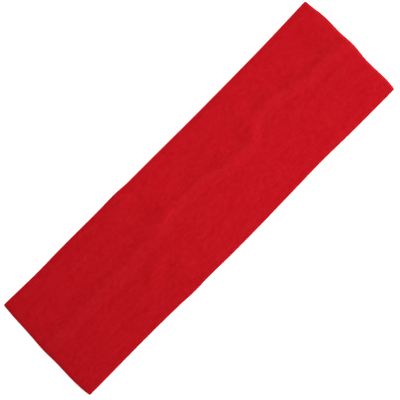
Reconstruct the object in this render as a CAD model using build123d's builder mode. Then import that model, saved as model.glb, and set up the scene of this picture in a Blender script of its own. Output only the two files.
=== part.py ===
"""A stretch sports headband, lying flat as a closed loop.

One strip of cotton jersey is folded lengthwise into a flat tube of two plies and closed by an overlocked
long seam, whose allowance lies inside the tube, along the middle. The tube's two ends are then joined by
an overlocked cross seam, whose allowance lies inside the loop. Lying flat, the loop has a front run on top,
a back run below, and a turn at each end.

Frame: +X along the band, +Y across it, +Z up. The origin is the middle of the underside.
Going round the loop, the order is: back run towards +X, right turn, front run towards -X, left turn.
A profile is drawn as (across, depth), where depth 0 is the band's outer face and grows into the loop.
"""

from build123d import *
import os

# Driving dimensions, in millimetres
FLAT_LENGTH = 245.0  # from the outside of one turn to the outside of the other
BAND_WIDTH = 70.0
LOOP_HEIGHT = 5.6  # both runs, with the air between them
PLY = 0.5  # single jersey, lying loose
SEAM_PLY = 0.4  # the same jersey, squeezed by a row of stitches
THREAD = 0.25  # overlock thread
SEAM_WIDTH = 7.0  # from the seam line to the overlocked edge
CROSS_SEAM_X = -24.0
NEEDLE_LINES = (0.9, 3.3)  # the two rows of needle stitches, from the seam line
HUMP_SLOPE = 3.0  # how far across the inner ply takes to come down beside the seam

# Worked out from them
TURN_RADIUS = LOOP_HEIGHT / 2
TURN_X = FLAT_LENGTH / 2 - TURN_RADIUS
FOLD_Y = BAND_WIDTH / 2 - PLY  # where the long edges start to fold over
SEAM_Y = SEAM_WIDTH / 2  # the long seam's line, so that its allowance is centred
LONG_STACK = 2 * SEAM_PLY + 2 * THREAD
CROSS_STACK = 4 * SEAM_PLY + 2 * THREAD
HUMP = PLY + LONG_STACK  # depth of the inner ply's outer face over the allowance
HUMP_FOOT = SEAM_Y + HUMP_SLOPE

# The four stretches of the loop: (plane at its start, straight length, or 0 for a half turn)
LEFT_STRETCH = CROSS_SEAM_X + TURN_X
RIGHT_STRETCH = TURN_X - CROSS_SEAM_X


def loop_plane(x, on_top):
    """The profile plane at x: local x runs across the band, local y into the loop."""
    height, ahead = (LOOP_HEIGHT, -1) if on_top else (0, 1)
    return Plane(origin=(x, 0, height), x_dir=(0, 1, 0), z_dir=(ahead, 0, 0))


STRETCHES = {
    "back_left": (loop_plane(-TURN_X, False), LEFT_STRETCH),
    "back_right": (loop_plane(CROSS_SEAM_X, False), RIGHT_STRETCH),
    "right_turn": (loop_plane(TURN_X, False), 0),
    "front": (loop_plane(TURN_X, True), 2 * TURN_X),
    "left_turn": (loop_plane(-TURN_X, True), 0),
}


def strips_profile(strips, mode=Mode.ADD):
    """Flat strips, each given by its span across the band and its span in depth."""
    for across_from, across_to, depth_from, depth_to in strips:
        with Locations((across_from, depth_from)):
            Rectangle(across_to - across_from, depth_to - depth_from, align=Align.MIN, mode=mode)


def outer_ply_profile():
    """The ply on the outside of the loop, with the long edges that fold over onto the inner ply."""
    strips_profile([(-FOLD_Y, FOLD_Y, 0, PLY)])
    with Locations((-FOLD_Y, PLY), (FOLD_Y, PLY)):
        Circle(PLY)
    strips_profile([(-FOLD_Y, FOLD_Y, PLY, 2 * PLY)], mode=Mode.SUBTRACT)


def inner_ply_profile():
    """The ply on the inside of the loop: two halves that meet at the seam line and rise over the allowance."""
    for side in (-1, 1):
        outer_face = [(side * FOLD_Y, PLY), (side * HUMP_FOOT, PLY), (side * SEAM_Y, HUMP)]
        if side < 0:
            outer_face.append((SEAM_Y, HUMP))
        inner_face = [(across, depth + PLY) for across, depth in reversed(outer_face)]
        Polygon(*outer_face, *inner_face, align=None)


def round_the_loop(label, stretches, profile, *sizes):
    """A piece with one profile along some of the loop's stretches."""
    with BuildPart() as piece:
        for stretch in stretches:
            plane, straight = STRETCHES[stretch]
            with BuildSketch(plane):
                profile(*sizes)
            if straight:
                extrude(amount=straight)
            else:
                centre = plane.origin + plane.y_dir * TURN_RADIUS
                revolve(axis=Axis(centre, (0, -1, 0)), revolution_arc=180)
    piece.part.label = label
    return piece.part


def outer_plies():
    return [round_the_loop(f"{name}_outer_ply", [name], outer_ply_profile) for name in STRETCHES]


def inner_plies():
    return [round_the_loop(f"{name}_inner_ply", [name], inner_ply_profile) for name in STRETCHES]


def long_seam():
    """The two plies of the long seam's allowance and its four overlock threads, each once round the loop.

    From the outer ply inwards: needle threads and upper looper, two plies, lower looper."""
    plies_from = PLY + THREAD
    plies_meet = plies_from + SEAM_PLY
    plies_to = plies_meet + SEAM_PLY
    left_line, right_line = (SEAM_Y - line for line in NEEDLE_LINES)
    half = THREAD / 2
    strips = {
        "upper_allowance": [(-SEAM_Y, SEAM_Y, plies_from, plies_meet)],
        "lower_allowance": [(-SEAM_Y, SEAM_Y, plies_meet, plies_to)],
        "lower_looper_thread": [(-SEAM_Y, SEAM_Y, plies_to, HUMP)],
        "upper_looper_thread": [
            (right_line + half, left_line - half, PLY, plies_from),
            (-SEAM_Y, right_line - half, PLY, plies_from),
        ],
        "left_needle_thread": [(left_line - half, left_line + half, PLY, plies_from)],
        "right_needle_thread": [(right_line - half, right_line + half, PLY, plies_from)],
    }
    return [
        round_the_loop(f"long_seam_{name}", STRETCHES, strips_profile, spans)
        for name, spans in strips.items()
    ]


def cross_seam_profile(low_share, high_share):
    """One layer of the cross seam's stack, squeezed thinner where it passes over the long seam.

    The shares are heights within the stack, where it isn't squeezed."""
    floor = [(-FOLD_Y, 2 * PLY), (-HUMP_FOOT, 2 * PLY), (-SEAM_Y, HUMP + PLY)]
    floor += [(-across, height) for across, height in reversed(floor)]
    top = 2 * PLY + CROSS_STACK
    low, high = (
        [(across, height + share / CROSS_STACK * (top - height)) for across, height in floor]
        for share in (low_share, high_share)
    )
    Polygon(*low, *reversed(high), align=None)


def cross_seam_layer(label, low, high, *spans):
    """One layer of the stack, over some spans of the distance from the seam line towards -X."""
    with BuildPart() as piece:
        for along_from, along_to in spans:
            with BuildSketch(loop_plane(CROSS_SEAM_X - along_to, False)):
                cross_seam_profile(low, high)
            extrude(amount=along_to - along_from)
    piece.part.label = label
    return piece.part


def cross_seam():
    """The four plies of the cross seam's allowance and its four overlock threads.

    The allowance is folded flat towards -X. From below: lower looper, the two plies of the left end,
    the two plies of the right end, then the needle threads and upper looper."""
    whole = (0, SEAM_WIDTH)
    plies_to = CROSS_STACK - THREAD
    left_line, right_line = NEEDLE_LINES
    half = THREAD / 2
    layers = [cross_seam_layer("cross_seam_lower_looper_thread", 0, THREAD, whole)]
    for index, name in enumerate(("left_inner", "left_outer", "right_outer", "right_inner")):
        low = THREAD + index * SEAM_PLY
        layers.append(cross_seam_layer(f"cross_seam_{name}_allowance", low, low + SEAM_PLY, whole))
    stitches = {
        "left_needle": [(left_line - half, left_line + half)],
        "right_needle": [(right_line - half, right_line + half)],
        "upper_looper": [(left_line + half, right_line - half), (right_line + half, SEAM_WIDTH)],
    }
    for name, spans in stitches.items():
        layers.append(cross_seam_layer(f"cross_seam_{name}_thread", plies_to, CROSS_STACK, *spans))
    return layers


os.makedirs("parts", exist_ok=True)
for part in outer_plies() + inner_plies() + long_seam() + cross_seam():
    export_step(part, f"parts/{part.label}.step")
    print(part.label, len(part.solids()), "solids,", round(part.volume, 1), "mm3")
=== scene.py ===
"""A red stretch sports headband, lying flat on a pale floor and seen from straight above.

The band is one strip of cotton jersey, folded lengthwise into a flat tube of two plies and closed by the
long seam, whose allowance lies inside the tube and shows through the cloth as a low ridge. The tube's two
ends are joined by the cross seam, on the underside. So the cloth is one mesh: its rows go round the loop,
and its columns go across the strip, from one raw edge to the other. The two seams' threads are pieces of
their own.

Lengths are in millimetres until a mesh or a curve is made. A point of the band is given by its share of the
way along a stretch of the loop, its place across the band, and its depth from the band's outer face into
the loop.
"""

import math
from collections import namedtuple

import bpy
import numpy as np
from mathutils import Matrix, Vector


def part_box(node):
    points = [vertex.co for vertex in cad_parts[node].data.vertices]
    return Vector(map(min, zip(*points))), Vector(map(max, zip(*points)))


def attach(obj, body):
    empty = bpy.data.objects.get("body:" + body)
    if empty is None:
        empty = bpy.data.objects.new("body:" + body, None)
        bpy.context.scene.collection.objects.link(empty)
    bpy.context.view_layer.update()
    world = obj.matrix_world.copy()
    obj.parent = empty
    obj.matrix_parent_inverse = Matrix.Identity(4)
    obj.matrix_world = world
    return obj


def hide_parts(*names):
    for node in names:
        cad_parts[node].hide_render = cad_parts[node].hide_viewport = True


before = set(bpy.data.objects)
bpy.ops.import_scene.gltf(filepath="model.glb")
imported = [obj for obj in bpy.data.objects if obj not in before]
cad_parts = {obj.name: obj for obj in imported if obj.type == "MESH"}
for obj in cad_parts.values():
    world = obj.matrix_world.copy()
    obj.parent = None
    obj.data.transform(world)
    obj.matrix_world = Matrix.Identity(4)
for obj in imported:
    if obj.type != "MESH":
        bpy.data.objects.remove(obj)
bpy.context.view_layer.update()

MM = 0.001


def box_mm(node):
    low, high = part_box(node)
    return low / MM, high / MM


def line_mm(node, axis):
    low, high = box_mm(node)
    return (low[axis] + high[axis]) / 2


# ---------------------------------------------------------------- sizes

HALF_WIDTH = box_mm("front_outer_ply")[1].y
TURN_X = box_mm("front_outer_ply")[1].x
END_X = box_mm("right_turn_outer_ply")[1].x
ALLOWANCE_END_X, SEAM_X = (corner.x for corner in box_mm("cross_seam_left_inner_allowance"))
HALF_SEAM = box_mm("long_seam_upper_allowance")[1].y
PLY = 0.42
THREAD = 0.2
STITCH = 2.4  # length of one overlock stitch
PAINTED_SHEEN_FADE = 1.6  # the painted sheen over the allowance's strip fades out over this width at its edges

# The cut strip: across, both plies and both allowances, and along, both runs, both allowances and the folds
FOLD_TAKES = 2.5
STRIP_HALF_LENGTH = 2 * END_X + (SEAM_X - ALLOWANCE_END_X) + FOLD_TAKES

FOLD_ACROSS = 0.5  # how far the long edges' folds reach out from where the plies stop being flat
FLAT_ACROSS = HALF_WIDTH - FOLD_ACROSS - PLY / 2
SEAM_FOLD = 0.25  # the same for the inner ply's fold at the long seam
CLIMB = 3.0  # how far outside the allowance's raw edge the inner ply starts to climb over it
SINK = 5.0  # how far beyond the seam line the inner ply has sunk back to its own depth

# Depths of the middle of each layer
OUTER_DEPTH = 0.23
UPPER_DEPTH = 0.80  # the allowance's two plies
LOWER_DEPTH = 1.28
HUMP_DEPTH = 1.86  # the inner ply, over the allowance
INNER_DEPTH = 0.95  # the inner ply, beside it
PUFF = 0.35  # air between the plies, away from the folds

# Heights of the front run's outer face
TURN_HEIGHT = 5.2
MIDDLE_HEIGHT = 4.55
SETTLE = 40.0  # how far from a turn the run has come to rest
EDGE_DROOP = 1.1
TURN_EDGE_DROOP = 0.5
FLATTER = (-40.0, 110.0)  # from where to where along -x it comes to droop only close to its edges

# Heights of the back run's outer face, which rests on the strip that carries the allowance
TOUCHING = HALF_SEAM - 1  # half the width of that strip that lies on the floor
BACK_AIR = 0.02
BACK_HOLLOW = 0.16  # beside the strip
BACK_EDGE_LIFT = 0.3  # at the long edges, in waves
EDGE_WAVE = 0.09  # radians per mm

# The cross seam, whose four plies lie in a stack
SQUEEZE = 0.65  # how thin its stitches press the plies
HUMP_SQUEEZE = 0.45  # the same where the long seam crosses it
OVER_SEAM_SQUEEZE = 0.75  # the same for the front run, where it lies on the stack
SEAM_GAP = 0.05  # between the tube's two ends
STITCH_AIR = 0.03  # round the threads
SEAM_STEP = 0.5  # how much higher the front run stands over it
SEAM_CLIMB = (SEAM_X - 35, SEAM_X - 9)  # where the front run climbs that step, along x
SEAM_DESCENT = (SEAM_X - 7, SEAM_X)  # and where it comes down again
OVER_SEAM_DROOP = 0.7  # the share of its droop that the front run keeps over it
# How far beyond the stack these start to come back to what they are elsewhere, and how far beyond they have
SQUEEZE_FADES = (1.5, 8)
OVER_SEAM_SQUEEZE_FADES = (0, 8)
DROOP_FADES = (0, 12)
PUFF_FADES = (1, 14)
BACK_LIFT_FADES = (2, 9)


# ---------------------------------------------------------------- curves and slopes

def ease(value, low, high):
    """0 up to low, 1 from high, and smooth between."""
    share = np.clip((value - low) / (high - low), 0, 1)
    return share * share * (3 - 2 * share)


def plateau(value, half, shoulder):
    """1 within half of 0, and 0 from a shoulder further out."""
    return 1 - ease(np.abs(value), half, half + shoulder)


def through(*points):
    """A smooth curve through a few points, as a function of their first number."""
    xs, ys = np.array(points, float).T
    slopes = np.gradient(ys, xs)

    def curve(x):
        x = np.clip(x, xs[0], xs[-1])
        i = np.clip(np.searchsorted(xs, x) - 1, 0, len(xs) - 2)
        gap = xs[i + 1] - xs[i]
        t = (x - xs[i]) / gap
        start = (1 + 2 * t) * (1 - t) ** 2 * ys[i] + t * (1 - t) ** 2 * gap * slopes[i]
        end = t * t * (3 - 2 * t) * ys[i + 1] + t * t * (t - 1) * gap * slopes[i + 1]
        return start + end

    return curve


# How far each long edge lies outside its nominal place, along x
FRONT_FAR_EDGE = through(
    (-120, 0.3), (-97, -0.2), (-74, 0.1), (-50, -0.05), (-25, -0.4), (0, -0.5), (27, -0.7),
    (55, -0.6), (85, -0.35), (108, 0.2), (120, 0.6),
)
FRONT_NEAR_EDGE = through(
    (-120, 0.2), (-66, 0.1), (-41, 0.55), (-30, 0.7), (-24, 0.7), (-9, 0.95), (14, 0.85),
    (36, 0.45), (66, -0.1), (84, 0.25), (120, 0.25),
)
BACK_FAR_EDGE = through(
    (-120, 0.3), (-97, -0.3), (-74, 0.0), (-45, 0.1), (-26, 0.1), (-21, -0.6), (25, -0.9),
    (97, -0.2), (120, 0.6),
)
BACK_NEAR_EDGE = through(
    (-120, 0.2), (-60, 0.0), (-28, 0.8), (-23, 0.3), (25, 0.3), (70, -0.4), (120, 0.25),
)
# How far each end lies outside its nominal place, along y
RIGHT_END = through(
    (-35, -0.9), (-33, -0.6), (-11, -0.4), (-1, 0.55), (8, 0.1), (24, 0.1), (30.5, -0.8),
    (35, -1.1),
)
LEFT_END = through(
    (-35, -0.1), (-32, 0.3), (-24, 0.7), (-9, 0.3), (0, 0.45), (15, -0.5), (30, -1.4), (35, -1.9),
)
# The middle of the long seam's allowance, along x, on each run
FRONT_SEAM = through(
    (-120, -1.0), (-90, -1.0), (-50, -0.6), (-34, 1.1), (-21.5, 4.0), (-4, 4.3), (11.3, 3.0),
    (22.6, 0.0), (35.6, -1.4), (46, 0.3), (51.8, 6.1), (63.8, 7.9), (73.4, 6.8), (80, 4.2),
    (88, 2.4), (102, 1.9), (120, 1.0),
)
BACK_SEAM = through(
    (-120, -1.0), (-80, 0.5), (-50, -2.5), (-30, -4.5), (-20, -4.0), (10, -1.0), (50, -2.0),
    (90, 0.5), (120, 1.0),
)
# The allowance lifts the front run into a low ridge. Along x: how far the run dips on its near side, how
# far it rises over the allowance, up to the seam line, and how far it falls on the far side
NEAR_DIP = through(
    (-120, 0.2), (-90, 0.2), (-65, 0.16), (-40, 0.22), (-30, 0.1), (-12, 0.1), (0, 0.35),
    (14, 0.15), (30, 0.05), (48, 0), (57, 0.35), (68, 0.3), (78, 0.3), (90, 0.25), (102, 0.45),
    (112, 0.12), (120, 0.1),
)
STRIP_RISE = through(
    (-120, 0.1), (-95, 0.1), (-65, 0.3), (-40, 0.2), (-28, 0), (-14, 0.35), (0, 0.45), (13, 0),
    (26, 0.9), (37, 0.55), (49, 0.6), (58, 0.05), (67, 0.25), (78, 0.0), (90, 0.3), (102, 0.15),
    (113, 0.5), (120, 0.5),
)
FAR_FALL = through(
    (-120, 0.45), (-95, 0.5), (-65, 0.5), (-40, 0.75), (-28, 0.5), (-14, 0.5), (0, 0.75),
    (14, 0.45), (26, 0.6), (37, 0.7), (44, 0.3), (49, 0.1), (58, 0.6), (68, 0.5), (78, 0.55),
    (90, 0.65), (102, 0.6), (113, 0.4), (120, 0.4),
)
# Distances from the allowance's middle, positive towards +Y: where the dip, the rise and the fall start and
# end, and where the run is level again
DIP_SPAN = (-8.5, -4.0)
RISE_SPAN = (-5.2, 2.2)
FALL_START = 2.0
FALL_END = through(
    (-120, 7.8), (-75, 7.8), (-62, 8), (-45, 11.5), (-28, 11.5), (-14, 8), (0, 7.8), (120, 7.8),
)
LEVEL_AGAIN = 28.0
# How strongly the cross seam shows through the front run, along y
SEAM_SHOWS = through(
    (-35, 0), (-30, 0.3), (-24, 1.2), (-16, 0.8), (-8, 0.6), (0, 0.4), (12, 0.3), (22, 0.3),
    (31, 1.8),
)

# Soft creases of the front run: both ends, half width on the steep side, height
GENTLE_SIDE = 5.0  # how many times wider their +Y side is
CREASE_SKEW = 1.5  # over 1, a crease is highest nearer its second end
CREASES = (
    ((-37, 2.7), (-10, 7.4), 1.2, 0.55),
    ((0, -1.3), (25, -1.9), 0.8, 0.15),
    ((70, 4.9), (86, 3.1), 1.0, 0.62),
)

# A short ripple of the front run: its middle, the direction of its length, the slope across it, and its
# half width and half length
RIPPLE_PLACE = (-46.0, -15.5)
RIPPLE_DIRECTION = (0.91, 0.42)
RIPPLE_SLOPE = 0.22
RIPPLE_HALF_WIDTH = 5.0
RIPPLE_HALF_LENGTH = 9.0

SWELL_SEED = 1765
SWELL_LENGTHS = np.geomspace(11, 60, 16)
SWELL_HEIGHT = 0.0011  # as a share of the wavelength
SWELL_STRETCH = 0.7  # waves that run along the band are longer, by this


def swells():
    """Long, low waves of the front run, of all directions: (height, waves per mm along x and y, phase)."""
    draw = np.random.default_rng(SWELL_SEED)
    for wavelength in SWELL_LENGTHS:
        direction = draw.uniform(0, math.pi)
        height = SWELL_HEIGHT * wavelength
        along = math.cos(direction) * SWELL_STRETCH / wavelength
        yield height, along, math.sin(direction) / wavelength, draw.uniform(0, 2 * math.pi)


SWELLS = list(swells())


def beside_seam(seam, x, y):
    """The distance from the middle of a run's allowance, positive towards +Y: near it, square to it."""
    step = 0.5
    near_width = 8.0
    slope = (seam(x + step) - seam(x - step)) / (2 * step)
    off = y - seam(x)
    near = np.exp(-((off / near_width) ** 2))
    return off / np.sqrt(1 + near * slope**2)


def ridge(x, beside):
    """How much higher the front run lies at a distance from the middle of its allowance."""
    dip, rise, fall, fall_end = NEAR_DIP(x), STRIP_RISE(x), FAR_FALL(x), FALL_END(x)
    height = rise * ease(beside, *RISE_SPAN) - dip * ease(beside, *DIP_SPAN)
    height = height - fall * ease(beside, FALL_START, fall_end)
    return height + (dip + fall - rise) * ease(beside, fall_end, LEVEL_AGAIN)


def crease(x, y, start, end, half_width, height):
    """One soft crease, from its end towards -X to the other: it falls away more gently on its +Y side."""
    start, end = np.array(start, float), np.array(end, float)
    length = np.linalg.norm(end - start)
    along = (end - start) / length
    travelled = (x - start[0]) * along[0] + (y - start[1]) * along[1]
    off = (x - start[0]) * along[1] - (y - start[1]) * along[0]
    off = off / np.where(off > 0, half_width, GENTLE_SIDE * half_width)
    share = np.clip(travelled / length, 0, 1)
    return height * np.sin(np.pi * share**CREASE_SKEW) ** 2 * np.exp(-(off**2))


def ripple(x, y):
    """The short ripple: a low rise on its +Y side, and a low dip on its -Y side."""
    x, y = x - RIPPLE_PLACE[0], y - RIPPLE_PLACE[1]
    cosine, sine = RIPPLE_DIRECTION
    along, across = cosine * x + sine * y, cosine * y - sine * x
    fading = np.exp(-((along / RIPPLE_HALF_LENGTH) ** 2) - (across / RIPPLE_HALF_WIDTH) ** 2)
    return RIPPLE_SLOPE * across * fading


def beyond_stack(x):
    """How far a place lies outside the cross seam's allowance, along x."""
    return np.abs(x - (ALLOWANCE_END_X + SEAM_X) / 2) - (SEAM_X - ALLOWANCE_END_X) / 2


def front_height(x, y):
    """The height of the front run's outer face above the floor."""
    settled = ease(TURN_X - np.abs(x), 0, SETTLE)
    over_seam = ease(x, *SEAM_CLIMB) * (1 - ease(x, *SEAM_DESCENT)) * SEAM_SHOWS(y)
    outwards = np.abs(y) / HALF_WIDTH
    flatter = ease(-x, *FLATTER)
    droop = (1 - flatter) * outwards**2 + flatter * outwards**4
    droop = droop * (TURN_EDGE_DROOP + (EDGE_DROOP - TURN_EDGE_DROOP) * settled)
    droop = droop * (OVER_SEAM_DROOP + (1 - OVER_SEAM_DROOP) * ease(beyond_stack(x), *DROOP_FADES))
    height = TURN_HEIGHT - (TURN_HEIGHT - MIDDLE_HEIGHT) * settled + SEAM_STEP * over_seam - droop
    height = height + ridge(x, beside_seam(FRONT_SEAM, x, y)) + ripple(x, y)
    for start, end, half_width, rise in CREASES:
        height = height + crease(x, y, start, end, half_width, rise)
    for rise, along, across, phase in SWELLS:
        height = height + rise * np.sin(2 * np.pi * (along * x + across * y) + phase)
    return height


def back_lift(x, y):
    """The height of the back run's outer face above the floor."""
    hollow = 1 - plateau(beside_seam(BACK_SEAM, x, y), TOUCHING, CLIMB)
    wave = 0.5 + 0.5 * np.sin(EDGE_WAVE * x + np.sign(y))
    edge = (np.abs(y) / HALF_WIDTH) ** 6
    lift = BACK_AIR + BACK_HOLLOW * hollow + BACK_EDGE_LIFT * edge * wave
    return lift * ease(beyond_stack(x), *BACK_LIFT_FADES)


def crossing(across):
    """1 where the long seam's allowance crosses the cross seam, and 0 beside it."""
    return plateau(across - BACK_SEAM(SEAM_X), HALF_SEAM, CLIMB)


def squeeze(x, across):
    """How thin the plies are pressed: 1 far from the cross seam."""
    at_seam = SQUEEZE + (HUMP_SQUEEZE - SQUEEZE) * crossing(across)
    return at_seam + (1 - at_seam) * ease(beyond_stack(x), *SQUEEZE_FADES)


def fold_radius(across):
    """The radius of the cross seam's folds, which hold the whole tube."""
    deepest = INNER_DEPTH + (HUMP_DEPTH - INNER_DEPTH) * crossing(across) + PLY / 2
    return squeeze(SEAM_X, across) * deepest + THREAD / 2 + STITCH_AIR


def widened(across, x, front_share):
    """Where a point lies along y: its place across the band, moved with the long edges' own wander."""
    far = front_share * FRONT_FAR_EDGE(x) + (1 - front_share) * BACK_FAR_EDGE(x)
    near = front_share * FRONT_NEAR_EDGE(x) + (1 - front_share) * BACK_NEAR_EDGE(x)
    return across + np.where(across > 0, far, -near) * (across / HALF_WIDTH) ** 2


def turn_middle(side, y):
    """(x of the middle of a turn's arc, its radius)."""
    radius = front_height(side * TURN_X, y) / 2
    end = END_X + (RIGHT_END(y) if side > 0 else LEFT_END(y))
    return side * (end - radius), radius


# ---------------------------------------------------------------- the stretches of the loop
# Each function gives (x, z, how thin the plies are pressed) for points at their share of the way along it.

def right_allowance(share, y, across, depth):
    radius, pressed = fold_radius(across), squeeze(SEAM_X, across)
    x = ALLOWANCE_END_X + share * (SEAM_X - radius - ALLOWANCE_END_X)
    return x, 2 * radius + SEAM_GAP + pressed * depth, pressed


def right_rise(share, y, across, depth):
    """Down round left_fold, and out onto the floor."""
    radius, pressed = fold_radius(across), squeeze(SEAM_X, across)
    going_down = share < 0.5
    angle = np.pi * np.where(going_down, 0.5 - share, 0.5 + share)
    reach = radius + np.where(going_down, SEAM_GAP + pressed * depth, -pressed * depth)
    middle = SEAM_X + np.where(going_down, -radius, SEAM_GAP + radius)
    return middle + reach * np.cos(angle), radius + reach * np.sin(angle), pressed


def back_right(share, y, across, depth):
    start = SEAM_X + SEAM_GAP + fold_radius(across)
    x = start + share * (turn_middle(1, y)[0] - start)
    return x, back_lift(x, y) + squeeze(x, across) * depth, squeeze(x, across)


def right_turn(share, y, across, depth):
    return turn(1, share, y, depth)


def turn(side, front_share, y, depth):
    middle, radius = turn_middle(side, y)
    angle = np.pi * (front_share - 0.5)
    reach = radius - depth
    lift = back_lift(middle, y) * (1 - front_share)
    return middle + side * reach * np.cos(angle), radius + reach * np.sin(angle) + lift, 1


def front(share, y, across, depth):
    start, end = turn_middle(1, y)[0], turn_middle(-1, y)[0]
    x = start + share * (end - start)
    pressed = 1 - (1 - OVER_SEAM_SQUEEZE) * (1 - ease(beyond_stack(x), *OVER_SEAM_SQUEEZE_FADES))
    return x, front_height(x, y) - pressed * depth, pressed


def left_turn(share, y, across, depth):
    return turn(-1, 1 - share, y, depth)


def back_left(share, y, across, depth):
    start = turn_middle(-1, y)[0]
    x = start + share * (SEAM_X - fold_radius(across) - start)
    return x, back_lift(x, y) + squeeze(x, across) * depth, squeeze(x, across)


def left_fold(share, y, across, depth):
    radius, pressed = fold_radius(across), squeeze(SEAM_X, across)
    angle = np.pi * (share - 0.5)
    reach = radius - pressed * depth
    return SEAM_X - radius + reach * np.cos(angle), radius + reach * np.sin(angle), pressed


def left_allowance(share, y, across, depth):
    radius, pressed = fold_radius(across), squeeze(SEAM_X, across)
    start = SEAM_X - radius
    return start + share * (ALLOWANCE_END_X - start), 2 * radius - pressed * depth, pressed


# In order: how a point is placed, the nominal x and the share of the front run at both ends, the rows of
# cloth, and how they crowd: over 1 towards the stretch's start, and under -1 towards its end
Stretch = namedtuple("Stretch", "shape x_ends front_ends rows crowding", defaults=[1])
STRETCHES = (
    Stretch(right_allowance, (SEAM_X, SEAM_X), (0, 0), 6),
    Stretch(right_rise, (SEAM_X, SEAM_X), (0, 0), 14),
    Stretch(back_right, (SEAM_X, TURN_X), (0, 0), 54, 1.6),
    Stretch(right_turn, (TURN_X, TURN_X), (0, 1), 14),
    Stretch(front, (TURN_X, -TURN_X), (1, 1), 220),
    Stretch(left_turn, (-TURN_X, -TURN_X), (1, 0), 14),
    Stretch(back_left, (-TURN_X, SEAM_X), (0, 0), 36, -1.6),
    Stretch(left_fold, (SEAM_X, SEAM_X), (0, 0), 9),
    Stretch(left_allowance, (SEAM_X, SEAM_X), (0, 0), 6),
)


def nominal(stretch, share):
    """[nominal x, share of the front run] at a share of the way along a stretch."""
    return [start + share * (end - start) for start, end in (stretch.x_ends, stretch.front_ends)]


def seam_middle(stretch, share):
    """The middle of the long seam's allowance, across the band."""
    x, front_share = nominal(stretch, share)
    return front_share * FRONT_SEAM(x) + (1 - front_share) * BACK_SEAM(x)


def place(stretch, share, across, depth):
    """(points, how thin the plies are pressed) for arrays of places that broadcast."""
    x, front_share = nominal(stretch, share)
    y = widened(across, x, front_share)
    x, z, pressed = stretch.shape(share, y, across, depth)
    x, y, z, pressed = np.broadcast_arrays(x, y, z, pressed)
    return np.stack([x, y, z], -1), pressed


# ---------------------------------------------------------------- the cloth

def section(middle, air):
    """The strip's path across the band, from one raw edge to the other, at several places round the loop,
    given the allowance's middle and how much air there is between the plies: (across, depth, 1 where it is
    the outer ply), each with a row for a place and a column for a point."""
    seam_line, raw_edge = middle + HALF_SEAM, middle - HALF_SEAM
    climb_start = raw_edge - CLIMB
    runs = []

    def add(across, depth, outer=0):
        runs.append([value + 0 * (middle + across) for value in (across, depth, outer)])

    def span(start, end, count):
        return start + (end - start) * np.arange(count) / count

    def inner(across):
        return INNER_DEPTH + PUFF * air * (1 - (across / FLAT_ACROSS) ** 8)

    add(span(raw_edge, seam_line, 7), UPPER_DEPTH)
    far = span(seam_line, FLAT_ACROSS, 13)
    add(far, UPPER_DEPTH + (inner(far) - UPPER_DEPTH) * ease(far - seam_line, 0, SINK))
    half_turn = span(0, math.pi, 7)
    fold_middle, fold_depth = (INNER_DEPTH + OUTER_DEPTH) / 2, (INNER_DEPTH - OUTER_DEPTH) / 2
    add(FLAT_ACROSS + FOLD_ACROSS * np.sin(half_turn), fold_middle + fold_depth * np.cos(half_turn))
    dense = 9.0  # the outer ply's columns are closer together within this of the allowance's middle
    add(span(FLAT_ACROSS, middle + dense, 13), OUTER_DEPTH, 1)
    add(span(middle + dense, middle - dense, 40), OUTER_DEPTH, 1)
    add(span(middle - dense, -FLAT_ACROSS, 13), OUTER_DEPTH, 1)
    add(-FLAT_ACROSS - FOLD_ACROSS * np.sin(half_turn), fold_middle - fold_depth * np.cos(half_turn))
    for near in (span(-FLAT_ACROSS, climb_start, 9), span(climb_start, seam_line, 11)):
        add(near, inner(near) + (HUMP_DEPTH - inner(near)) * ease(near, climb_start, raw_edge))
    half_turn = span(0, math.pi, 5)
    fold_middle, fold_depth = (HUMP_DEPTH + LOWER_DEPTH) / 2, (HUMP_DEPTH - LOWER_DEPTH) / 2
    add(seam_line + SEAM_FOLD * np.sin(half_turn), fold_middle + fold_depth * np.cos(half_turn))
    add(seam_line + (raw_edge - seam_line) * np.linspace(0, 1, 8), LOWER_DEPTH)
    return [np.concatenate(columns, axis=1) for columns in zip(*runs)]


def mesh_object(name, points, faces):
    mesh = bpy.data.meshes.new(name)
    mesh.from_pydata((points * MM).tolist(), [], faces)
    mesh.polygons.foreach_set("use_smooth", [True] * len(mesh.polygons))
    mesh.update()
    made = bpy.data.objects.new(name, mesh)
    bpy.context.scene.collection.objects.link(made)
    return made


def shell_faces(rows, columns):
    """Quads of a closed sheet: its first face, its second face and the rim between them. The second face's
    vertices follow the first's."""
    first = np.arange(rows * columns).reshape(rows, columns)
    second = first + rows * columns
    sides = [
        [first[:-1, :-1], first[1:, :-1], first[1:, 1:], first[:-1, 1:]],
        [second[:-1, :-1], second[:-1, 1:], second[1:, 1:], second[1:, :-1]],
    ]
    faces = [quad for side in sides for quad in np.stack(side, -1).reshape(-1, 4).tolist()]
    border = np.concatenate([first[0, :-1], first[:-1, -1], first[-1, :0:-1], first[:0:-1, 0]])
    after = np.roll(border, -1)
    faces += np.stack([border, after, after + rows * columns, border + rows * columns], -1).tolist()
    return faces


def add_attribute(mesh, name, kind, field, values):
    attribute = mesh.attributes.new(name, kind, "POINT")
    attribute.data.foreach_set(field, values.astype(np.float32).ravel())


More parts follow.
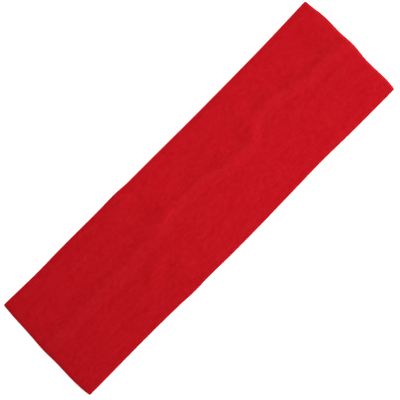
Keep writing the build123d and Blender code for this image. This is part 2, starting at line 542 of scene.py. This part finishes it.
def make_cloth():
    """The strip as one closed mesh, with the coordinates that its knit follows."""
    grids = []
    for stretch in STRETCHES:
        last = stretch is STRETCHES[-1]
        share = (np.arange(stretch.rows + last) / stretch.rows)[:, None]
        if stretch.crowding > 1:
            share = share**stretch.crowding
        if stretch.crowding < 0:
            share = 1 - (1 - share) ** -stretch.crowding
        middle = seam_middle(stretch, share)
        air = ease(beyond_stack(nominal(stretch, share)[0]), *PUFF_FADES)
        across, depth, outer = section(middle, air)
        points, pressed = place(stretch, share, across, depth)
        grids.append((points, pressed * PLY, outer, across - middle))
    points, thickness, outer, beside = (np.concatenate(grid) for grid in zip(*grids))
    normal = np.cross(np.gradient(points, axis=0), np.gradient(points, axis=1))
    normal /= np.linalg.norm(normal, axis=2, keepdims=True)
    offset = normal * thickness[..., None] / 2
    both_faces = np.concatenate([(points + offset).reshape(-1, 3), (points - offset).reshape(-1, 3)])
    cloth = mesh_object("band_fabric", both_faces, shell_faces(*thickness.shape))

    # The cloth's own coordinates: how far round the loop, and how far over the strip from the band's middle
    middle_column = thickness.shape[1] // 2
    steps = np.linalg.norm(np.diff(points[:, middle_column], axis=0), axis=1)
    round_loop = np.concatenate([[0], np.cumsum(steps)])[:, None] + 0 * thickness
    steps = np.linalg.norm(np.diff(points, axis=1), axis=2)
    over_strip = np.concatenate([0 * thickness[:, :1], np.cumsum(steps, axis=1)], axis=1)
    for row, y, on_outer in zip(over_strip, points[..., 1], outer > 0):
        row -= np.interp(0, -y[on_outer], row[on_outer])
    knit = np.stack([round_loop, over_strip, 0 * thickness], -1)
    # Painted sheen: a lighter colour on the outer ply over the allowance's strip, where the raised ridge
    # catches the light
    painted_ridge_sheen = outer * plateau(beside, HALF_SEAM - PAINTED_SHEEN_FADE / 2, PAINTED_SHEEN_FADE)
    add_attribute(cloth.data, "knit", "FLOAT_VECTOR", "vector", np.concatenate([knit, knit]))
    add_attribute(cloth.data, "painted_ridge_sheen", "FLOAT", "value", np.concatenate([painted_ridge_sheen, painted_ridge_sheen]))
    return cloth


# ---------------------------------------------------------------- the threads

def long_seam_place(along, offset, level):
    """Points on the long seam: how far along the strip, how far towards +Y from the allowance's middle, and
    how far down through the allowance, from 0 on its upper face to 1 under it."""
    upper = UPPER_DEPTH - (PLY + THREAD) / 2
    lower = LOWER_DEPTH + (PLY + THREAD) / 2
    points = np.zeros((len(along), 3))
    start = 0.0
    for stretch in STRETCHES:
        share = np.linspace(0, 1, 40)
        line = place(stretch, share, seam_middle(stretch, share), UPPER_DEPTH)[0]
        length = np.linalg.norm(np.diff(line, axis=0), axis=1).sum()
        here = (along >= start) & (along < start + length)
        share = (along[here] - start) / length
        across = seam_middle(stretch, share) + offset[here]
        points[here] = place(stretch, share, across, upper + level[here] * (lower - upper))[0]
        start += length
    return points[along < start]


def cross_seam_place(along, offset, level):
    """The same on the cross seam: how far from the -Y edge, and at what x."""
    across = along - FLAT_ACROSS
    radius = fold_radius(across)
    top = 3 * radius + SEAM_GAP - STITCH_AIR
    points = np.stack([offset, widened(across, SEAM_X, 0), top + level * (radius - top)], -1)
    return points[across < FLAT_ACROSS]


def needle_path(along, line, edge):
    """Straight stitches on the upper face, which dive through the plies between one and the next."""
    dive = np.abs(np.cos(np.pi * along / STITCH)) ** 8
    return along, line + 0 * along, dive


def upper_looper_path(along, line, edge):
    """Slanting to the raw edge and back once a stitch, on the upper face."""
    phase = 2 * np.pi * along / STITCH
    swing = 0.5 - 0.5 * np.cos(phase)
    return along + 0.2 * STITCH * np.sin(phase), line + swing * (edge - line), 0.5 * swing**6


def lower_looper_path(along, line, edge):
    """The same on the lower face, half a stitch further on."""
    along, offset, level = upper_looper_path(along, line, edge)
    return along + STITCH / 2, offset, 1 - level


THREAD_PATHS = {
    "left_needle": needle_path,
    "right_needle": needle_path,
    "upper_looper": upper_looper_path,
    "lower_looper": lower_looper_path,
}


def stitches(seam, thread, axis, edge, seam_place, length):
    """One thread of an overlocked seam, from end to end. The loopers' threads hang on the left needle's."""
    line_of = thread if "needle" in thread else "left_needle"
    line = line_mm(f"{seam}_{line_of}_thread", axis)
    along = np.arange(STITCH / 4, length, STITCH / 12)
    path = seam_place(*THREAD_PATHS[thread](along, line, edge)) * MM
    curve = bpy.data.curves.new(f"{seam}_{thread}_stitches", "CURVE")
    curve.dimensions = "3D"
    curve.bevel_depth = THREAD / 2 * MM
    curve.bevel_resolution = 1
    curve.use_fill_caps = True
    spline = curve.splines.new("POLY")
    spline.points.add(len(path) - 1)
    spline.points.foreach_set("co", np.column_stack([path, np.ones(len(path))]).ravel())
    made = bpy.data.objects.new(curve.name, curve)
    bpy.context.scene.collection.objects.link(made)
    return made


# ---------------------------------------------------------------- materials

def node(tree, kind, settings=None, inputs=None):
    made = tree.nodes.new(kind)
    for name, value in (settings or {}).items():
        setattr(made, name, value)
    for key, value in (inputs or {}).items():
        if isinstance(value, bpy.types.NodeSocket):
            tree.links.new(value, made.inputs[key])
        else:
            made.inputs[key].default_value = value
    return made


def maths(tree, operation, *values):
    return node(tree, "ShaderNodeMath", {"operation": operation}, dict(enumerate(values))).outputs[0]


def mix_colours(tree, share, low, high):
    return node(tree, "ShaderNodeMix", {"data_type": "RGBA"}, {"Factor": share, 6: low, 7: high}).outputs[2]


def noise(tree, position, scales, detail):
    """Noise with its own scale along each direction of the position."""
    placed = node(tree, "ShaderNodeVectorMath", {"operation": "MULTIPLY"}, {0: position, 1: scales})
    inputs = {"Vector": placed.outputs[0], "Scale": 1.0, "Detail": detail}
    return node(tree, "ShaderNodeTexNoise", inputs=inputs).outputs["Fac"]


def new_material(name, values):
    """(material, its nodes, its shader), with constant values on the shader's own sockets."""
    material = bpy.data.materials.new(name)
    material.use_nodes = True
    shader = material.node_tree.nodes["Principled BSDF"]
    for socket, value in values.items():
        shader.inputs[socket].default_value = value
    return material, material.node_tree, shader


WALE = 0.72  # spacing of the jersey's ribs, which run across the band
COURSE = 0.55  # spacing of its rows of stitches, which run along the band
DARK_RED = (0.44, 0.0008, 0.0050, 1)
LIGHT_RED = (0.54, 0.0096, 0.0172, 1)
SHADE_START = -1.02  # brings the sum of the textures to the middle, between the two reds


def jersey_material():
    material, tree, shader = new_material(
        "red_jersey",
        {
            "Specular IOR Level": 0.04,
            "Sheen Weight": 0.12,
            "Sheen Roughness": 0.35,
            "Sheen Tint": (1, 0.5, 0.5, 1),
        },
    )
    knit = node(tree, "ShaderNodeAttribute", {"attribute_name": "knit"}).outputs["Vector"]
    painted_ridge_sheen = node(tree, "ShaderNodeAttribute", {"attribute_name": "painted_ridge_sheen"}).outputs["Fac"]
    split = node(tree, "ShaderNodeSeparateXYZ", inputs={0: knit})

    # The face of jersey: columns of V-shaped stitches. Across a leg of the V, the share goes from 0 to 1
    column = maths(tree, "DIVIDE", split.outputs["X"], WALE)
    leg_share = maths(tree, "MULTIPLY", maths(tree, "PINGPONG", column, 0.5), 2.0)
    row = maths(tree, "DIVIDE", split.outputs["Y"], COURSE)
    slanted = maths(tree, "MULTIPLY_ADD", leg_share, 1.0, row)
    yarn = maths(tree, "SINE", maths(tree, "MULTIPLY", slanted, 2 * math.pi))
    off_crest = maths(tree, "ABSOLUTE", maths(tree, "MULTIPLY_ADD", leg_share, 2.0, -0.85))
    leg = maths(tree, "SUBTRACT", 1.0, maths(tree, "POWER", off_crest, 3.0))
    # stitch is high on the yarn and low in the grooves between loops: in the colour its low grooves are
    # darkened as painted shade, in the bump they are relief
    stitch = maths(tree, "MULTIPLY", maths(tree, "MULTIPLY_ADD", yarn, 0.35, 0.65), leg)

    # The colour goes from dark to light as the shade goes from 0 to 1
    streaks = noise(tree, knit, (0.06, 0.2, 1), 1.0)
    blotches = noise(tree, knit, (0.28, 0.45, 1), 2.0)
    fuzz = noise(tree, knit, (0.9, 1.1, 1), 3.0)
    shade = SHADE_START
    # Over the allowance's strip the colour is lightened, a painted sheen
    for texture, share in ((streaks, 0.45), (blotches, 0.95), (fuzz, 1.1), (stitch, 0.55), (painted_ridge_sheen, 0.13)):
        shade = maths(tree, "MULTIPLY_ADD", texture, share, shade)
    tree.links.new(mix_colours(tree, shade, DARK_RED, LIGHT_RED), shader.inputs["Base Color"])
    tree.links.new(maths(tree, "MULTIPLY_ADD", fuzz, 0.16, 0.78), shader.inputs["Roughness"])
    relief = maths(tree, "MULTIPLY_ADD", fuzz, 0.5, stitch)
    bump = node(tree, "ShaderNodeBump", inputs={"Strength": 0.5, "Distance": 0.08 * MM, "Height": relief})
    tree.links.new(bump.outputs["Normal"], shader.inputs["Normal"])
    return material


def thread_material():
    material, tree, shader = new_material("red_thread", {"Specular IOR Level": 0.3, "Sheen Weight": 0.1})
    position = node(tree, "ShaderNodeTexCoord").outputs["Object"]
    fibres = noise(tree, position, (3000, 3000, 3000), 2.0)
    colour = mix_colours(tree, fibres, (0.40, 0.006, 0.012, 1), (0.60, 0.018, 0.030, 1))
    tree.links.new(colour, shader.inputs["Base Color"])
    tree.links.new(maths(tree, "MULTIPLY_ADD", fibres, 0.3, 0.4), shader.inputs["Roughness"])
    bump = node(tree, "ShaderNodeBump", inputs={"Strength": 0.5, "Distance": 0.03 * MM, "Height": fibres})
    tree.links.new(bump.outputs["Normal"], shader.inputs["Normal"])
    return material


def floor_material():
    """White paper on a softly lit table."""
    values = {"Specular IOR Level": 0.1, "Emission Color": (1, 1, 1, 1), "Emission Strength": 0.8}
    material, tree, shader = new_material("floor_paper", values)
    position = node(tree, "ShaderNodeTexCoord").outputs["Object"]
    grain = noise(tree, position, (40, 40, 40), 3.0)
    colour = mix_colours(tree, grain, (0.92, 0.92, 0.92, 1), (0.94, 0.94, 0.94, 1))
    tree.links.new(colour, shader.inputs["Base Color"])
    tree.links.new(maths(tree, "MULTIPLY_ADD", grain, 0.1, 0.85), shader.inputs["Roughness"])
    return material


# ---------------------------------------------------------------- the headband

def make_threads():
    threads = []
    material = thread_material()
    # Each seam's name, the axis across it, its raw edge there, how its points are placed, and its length
    seams = (
        ("long_seam", 1, -HALF_SEAM, long_seam_place, 2 * STRIP_HALF_LENGTH),
        ("cross_seam", 0, ALLOWANCE_END_X, cross_seam_place, 2 * FLAT_ACROSS),
    )
    for seam, axis, edge, seam_place, length in seams:
        for thread in THREAD_PATHS:
            made = stitches(seam, thread, axis, edge, seam_place, length)
            made.data.materials.append(material)
            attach(made, "root")
            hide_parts(f"{seam}_{thread}_thread")
            threads.append(made)
    return threads


threads = make_threads()
cloth = make_cloth()
cloth.data.materials.append(jersey_material())
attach(cloth, "root")
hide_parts(*[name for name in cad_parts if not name.endswith("_thread")])


# ---------------------------------------------------------------- floor, light and camera

FLOOR_HALF = 4000.0
corners = [(x * FLOOR_HALF, y * FLOOR_HALF, 0) for x, y in ((-1, -1), (1, -1), (1, 1), (-1, 1))]
floor = mesh_object("floor", np.array(corners), [(0, 1, 2, 3)])
floor.data.materials.append(floor_material())

# The picture's own directions: the band's +X points up and to the right in it
ROLL = math.radians(45.14)
PICTURE_RIGHT = np.array([math.cos(ROLL), -math.sin(ROLL), 0])
PICTURE_UP = np.array([math.sin(ROLL), math.cos(ROLL), 0])


def add_camera():
    lens = 85.0
    frame_width = 225.8  # at the height of the band's widest outline
    data = bpy.data.cameras.new("camera")
    data.lens = lens
    camera = bpy.data.objects.new("camera", data)
    bpy.context.scene.collection.objects.link(camera)
    height = frame_width * lens / data.sensor_width + TURN_HEIGHT / 2
    aim = 0.85 * PICTURE_RIGHT - 1.27 * PICTURE_UP  # the band's middle isn't quite the picture's
    camera.location = np.array([aim[0], aim[1], height]) * MM
    camera.rotation_euler = (0, 0, -ROLL)
    bpy.context.scene.camera = camera


def add_light(name, right, up, height, size, power):
    """A soft square light, placed in the picture's directions, in metres, and aimed at the band."""
    data = bpy.data.lights.new(name, "AREA")
    data.size = size
    data.energy = power
    lamp = bpy.data.objects.new(name, data)
    bpy.context.scene.collection.objects.link(lamp)
    lamp.location = right * PICTURE_RIGHT + up * PICTURE_UP + np.array([0, 0, height])
    lamp.rotation_euler = (-lamp.location).to_track_quat("-Z", "Y").to_euler()
    lamp.visible_camera = False


def add_world():
    """A studio with white walls all round and a dimmer ceiling."""
    world = bpy.data.worlds.new("studio")
    world.use_nodes = True
    tree = world.node_tree
    direction = node(tree, "ShaderNodeTexCoord").outputs["Generated"]
    upwards = node(tree, "ShaderNodeSeparateXYZ", inputs={0: direction}).outputs["Z"]
    heights = {"Value": upwards, "From Min": 0.1, "From Max": 0.5, "To Min": 1.1, "To Max": 0.11}
    strength = node(tree, "ShaderNodeMapRange", inputs=heights).outputs[0]
    background = tree.nodes["Background"]
    background.inputs["Color"].default_value = (1, 1, 1, 1)
    tree.links.new(strength, background.inputs["Strength"])
    bpy.context.scene.world = world


add_camera()
add_world()
add_light("key", right=0.65, up=0.07, height=0.46, size=0.3, power=5.5)
add_light("top", right=-0.024, up=0.056, height=0.27, size=0.2, power=0.353)
add_light("fill", right=-0.5, up=-0.5, height=0.15, size=0.3, power=0.35)
bpy.context.scene.view_settings.view_transform = "Standard"
